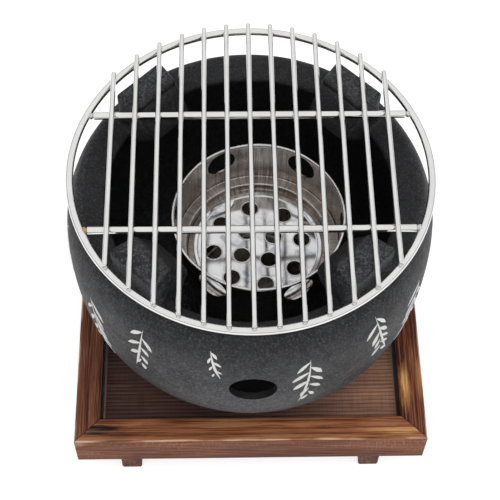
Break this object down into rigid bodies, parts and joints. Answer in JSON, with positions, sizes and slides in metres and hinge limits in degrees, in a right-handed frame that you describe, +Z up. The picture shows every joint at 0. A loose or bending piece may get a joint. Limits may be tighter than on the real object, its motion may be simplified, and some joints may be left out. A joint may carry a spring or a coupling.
{
  "type": "table barbecue",
  "caption": "Small charcoal barbecue: round wire grate on a lugged cast bowl with a stepped perforated charcoal cup inside, on a wooden tray with two battens.",
  "frame": {"origin": "under the middle of the tray, on the plane that the two battens stand on", "axes": "+Z up, +Y to the back and +X to the right: the bowl's draught hole faces -Y and the grate's bars run along Y"},
  "size_m": [0.2074, 0.2072, 0.1753],
  "materials": {
    "tray_rails": "scorched, brushed along the grain and oiled, paler where the edges are rubbed",
    "tray_board": "scorched dark, with fine sawn grooves",
    "tray_battens": "scorched and brushed",
    "screws": "plain bright steel",
    "coated_casting": "fine textured dark grey coating with a white brushed leaf ornament",
    "cup_sheet": "pressed stainless sheet, brushed round the wall",
    "plate_sheet": "bright stamped stainless sheet",
    "grate_wire": "polished stainless wire, welded"
  },
  "bodies": {
    "tray": {"rail_front": "tray_rails", "rail_back": "tray_rails", "rail_left": "tray_rails", "rail_right": "tray_rails", "floor_board": "tray_board", "batten_left": "tray_battens", "batten_right": "tray_battens", "screw_front_left": "screws", "screw_front_right": "screws", "screw_back_left": "screws", "screw_back_right": "screws"},
    "bowl": {"bowl": "coated_casting"},
    "cup": {"charcoal_cup": "cup_sheet"},
    "plate": {"ember_plate": "plate_sheet"},
    "grate": {"grate_ring": "grate_wire", "cross_rod_front": "grate_wire", "cross_rod_back": "grate_wire", "grate_bar_01": "grate_wire", "grate_bar_02": "grate_wire", "grate_bar_03": "grate_wire", "grate_bar_04": "grate_wire", "grate_bar_05": "grate_wire", "grate_bar_06": "grate_wire", "grate_bar_07": "grate_wire", "grate_bar_08": "grate_wire", "grate_bar_09": "grate_wire", "grate_bar_10": "grate_wire", "grate_bar_11": "grate_wire", "grate_bar_12": "grate_wire", "grate_bar_13": "grate_wire"}
  },
  "joints": [
    {"name": "bowl_lift", "type": "slide", "parent": "tray", "child": "bowl", "axis": [0, 0, 1], "range_m": [0, 0.04]},
    {"name": "cup_lift", "type": "slide", "parent": "bowl", "child": "cup", "axis": [0, 0, 1], "range_m": [0, 0.145]},
    {"name": "plate_lift", "type": "slide", "parent": "cup", "child": "plate", "axis": [0, 0, 1], "range_m": [0, 0.09]},
    {"name": "grate_lift", "type": "slide", "parent": "plate", "child": "grate", "axis": [0, 0, 1], "range_m": [0, 0.05]}
  ]
}
